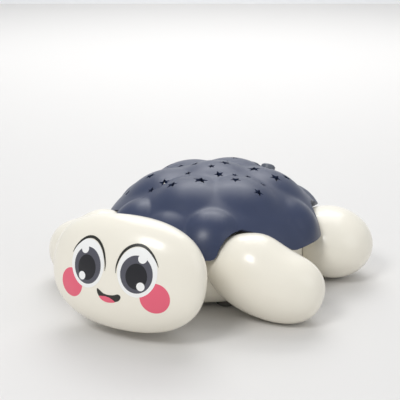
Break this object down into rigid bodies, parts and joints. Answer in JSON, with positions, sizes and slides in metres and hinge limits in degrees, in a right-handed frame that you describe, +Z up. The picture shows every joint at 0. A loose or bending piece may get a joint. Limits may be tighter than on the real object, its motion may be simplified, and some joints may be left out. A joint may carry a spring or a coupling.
{
  "type": "star night light projector",
  "caption": "Turtle-shaped night light: light from the board inside leaves star-shaped holes in the domed shell; push buttons, slide switch and battery door.",
  "frame": {"origin": "on the table under the middle of the shell, in the middle of the four rubber feet", "axes": "+Z up, head towards -Y, the turtle's left side towards +X"},
  "size_m": [0.1936, 0.2083, 0.0794],
  "materials": {
    "shell_navy": "satin moulded ABS, navy blue",
    "clear_liner": "clear polycarbonate dome",
    "body_cream": "gloss moulded ABS, cream",
    "board_green": "solder-masked board",
    "led_lens": "clear epoxy LED lens",
    "cup_black": "matt black ABS",
    "button_rubber": "satin moulded ABS, pale",
    "switch_black": "black nylon",
    "switch_can": "tinned steel can",
    "cell_jacket": "plain printed jacket",
    "contact_steel": "nickel-plated steel",
    "foot_rubber": "soft dark rubber",
    "screw_steel": "zinc-plated steel"
  },
  "bodies": {
    "root": {"shell_cover": "shell_navy", "dust_liner": "clear_liner", "upper_casing": "body_cream", "lower_casing": "body_cream", "head_shell": "body_cream", "head_back_cover": "body_cream", "front_flipper_left": "body_cream", "front_flipper_right": "body_cream", "hind_flipper_left": "body_cream", "hind_flipper_right": "body_cream", "light_board": "board_green", "control_board": "board_green", "star_leds": "led_lens", "light_cup": "cup_black", "push_switches": "switch_black", "power_switch": "switch_can", "batteries": "cell_jacket", "contact_springs": "contact_steel", "contact_plates": "contact_steel", "rubber_feet": "foot_rubber", "casing_screws": "screw_steel", "shell_screws": "screw_steel", "flipper_screws": "screw_steel", "neck_screws": "screw_steel", "board_screws": "screw_steel"},
    "timer_button": {"timer_button": "button_rubber"},
    "light_button": {"light_button": "button_rubber"},
    "colour_button": {"colour_button": "button_rubber"},
    "power_knob": {"power_knob": "switch_black"},
    "battery_door": {"battery_door": "body_cream", "battery_door_screws": "screw_steel"}
  },
  "joints": [
    {"name": "timer_button_press", "type": "slide", "parent": "root", "child": "timer_button", "axis": [0, -0.5214, -0.8533], "range_m": [0, 0.0008], "stiffness_N_per_m": 400},
    {"name": "light_button_press", "type": "slide", "parent": "root", "child": "light_button", "axis": [0, -0.5214, -0.8533], "range_m": [0, 0.0008], "stiffness_N_per_m": 400},
    {"name": "colour_button_press", "type": "slide", "parent": "root", "child": "colour_button", "axis": [0, -0.5214, -0.8533], "range_m": [0, 0.0008], "stiffness_N_per_m": 400},
    {"name": "power_slide", "type": "slide", "parent": "root", "child": "power_knob", "axis": [1, 0, 0], "range_m": [0, 0.003]},
    {"name": "battery_door_lift", "type": "slide", "parent": "root", "child": "battery_door", "axis": [0, 0, -1], "range_m": [0, 0.03]}
  ]
}
